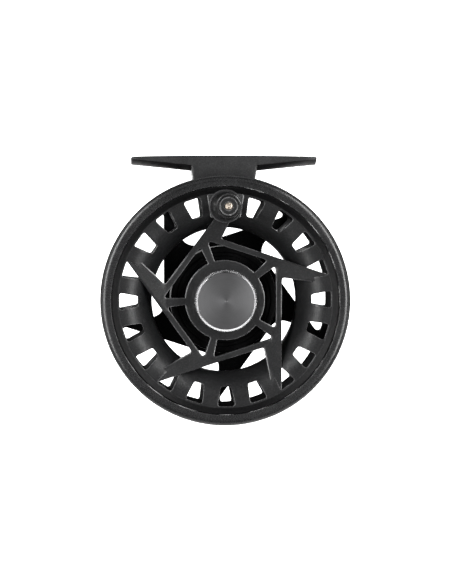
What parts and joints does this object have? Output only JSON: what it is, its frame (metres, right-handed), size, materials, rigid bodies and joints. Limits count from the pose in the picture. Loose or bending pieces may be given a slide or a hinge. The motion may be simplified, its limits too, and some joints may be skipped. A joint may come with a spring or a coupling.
{
  "type": "fly reel",
  "caption": "Large-arbor fly reel: caged frame with a reel foot, vented spool with winding handle, screw-on spool cap and sealed disc drag.",
  "frame": {"origin": "middle of the reel foot's seat, on the flat strip that lies against the rod", "axes": "+Z out of the foot's seat towards the rod, +X along the foot, -Y towards the side with the winding handle; the spool's axis is parallel to Y, 48.3 mm below the seat"},
  "size_m": [0.086, 0.0595, 0.0932],
  "materials": {
    "casting": "satin black coating",
    "silver": "turned, clear",
    "steel": "bright",
    "brass": "bright",
    "moulded": "satin",
    "rubber": "matt",
    "carbon": "fine weave"
  },
  "bodies": {
    "frame": {"frame_ring": "casting", "frame_back": "casting", "frame_pillar_1": "casting", "frame_pillar_2": "casting", "frame_pillar_3": "casting", "frame_pillar_4": "casting", "drag_housing": "casting", "housing_screw_1": "steel", "housing_screw_2": "steel", "housing_screw_3": "steel", "reel_foot": "casting", "foot_screw_1": "steel", "foot_screw_2": "steel", "spindle": "steel", "spindle_nut": "steel", "drag_cover": "casting", "cover_seal": "rubber", "fixed_drag_plate": "steel", "pawl_pin": "steel", "click_spring": "steel", "detent_plunger": "steel", "detent_spring": "steel", "knob_screw": "steel"},
    "click_pawl": {"click_pawl": "steel"},
    "rotor": {"drag_rotor": "steel", "click_gear": "brass", "bearing_front": "steel", "bearing_rear": "steel", "carbon_disc_front": "carbon", "carbon_disc_rear": "carbon"},
    "pressure": {"pressure_plate": "steel", "spring_washer_1": "steel", "spring_washer_2": "steel", "thrust_ring": "brass", "thrust_pin_1": "steel", "thrust_pin_2": "steel", "thrust_pin_3": "steel"},
    "drag_knob": {"drag_knob": "moulded"},
    "spool": {"spool": "casting", "one_way_clutch": "steel", "handle_post": "moulded", "handle_screw": "brass", "handle_washer": "steel"},
    "handle": {"handle_knob": "moulded"},
    "cap_washer": {"cap_washer": "moulded"},
    "cap": {"spool_cap": "silver"}
  },
  "joints": [
    {"name": "spool_spin", "type": "hinge", "parent": "frame", "child": "spool", "pos_m": [0, -0.0025, -0.0483], "axis": [0, -1, 0], "continuous": true},
    {"name": "handle_spin", "type": "hinge", "parent": "spool", "child": "handle", "pos_m": [0, -0.026, -0.0159], "axis": [0, -1, 0], "continuous": true},
    {"name": "rotor_spin", "type": "hinge", "parent": "frame", "child": "rotor", "pos_m": [0, 0, -0.0483], "axis": [0, -1, 0], "continuous": true},
    {"name": "click_pawl_swing", "type": "hinge", "parent": "frame", "child": "click_pawl", "pos_m": [0.0137, -0.0006, -0.0483], "axis": [0, -1, 0], "range_deg": [-8, 8], "stiffness_Nm_per_rad": 0.002},
    {"name": "drag_knob_turn", "type": "hinge", "parent": "frame", "child": "drag_knob", "pos_m": [0, 0.0197, -0.0483], "axis": [0, -1, 0], "range_deg": [0, 330]},
    {"name": "pressure_slide", "type": "slide", "parent": "frame", "child": "pressure", "axis": [0, -1, 0], "range_m": [0, 0.00046]},
    {"name": "cap_turn", "type": "hinge", "parent": "cap_washer", "child": "cap", "pos_m": [0, -0.0157, -0.0483], "axis": [0, -1, 0], "range_deg": [0, 1080]},
    {"name": "cap_slide", "type": "slide", "parent": "frame", "child": "cap_washer", "axis": [0, -1, 0], "range_m": [0, 0.00241]}
  ],
  "couplings": [
    {"joint": "pressure_slide", "follows": "drag_knob_turn", "m_per_rad": 0.000079577},
    {"joint": "cap_slide", "follows": "cap_turn", "m_per_rad": 0.00012732}
  ]
}
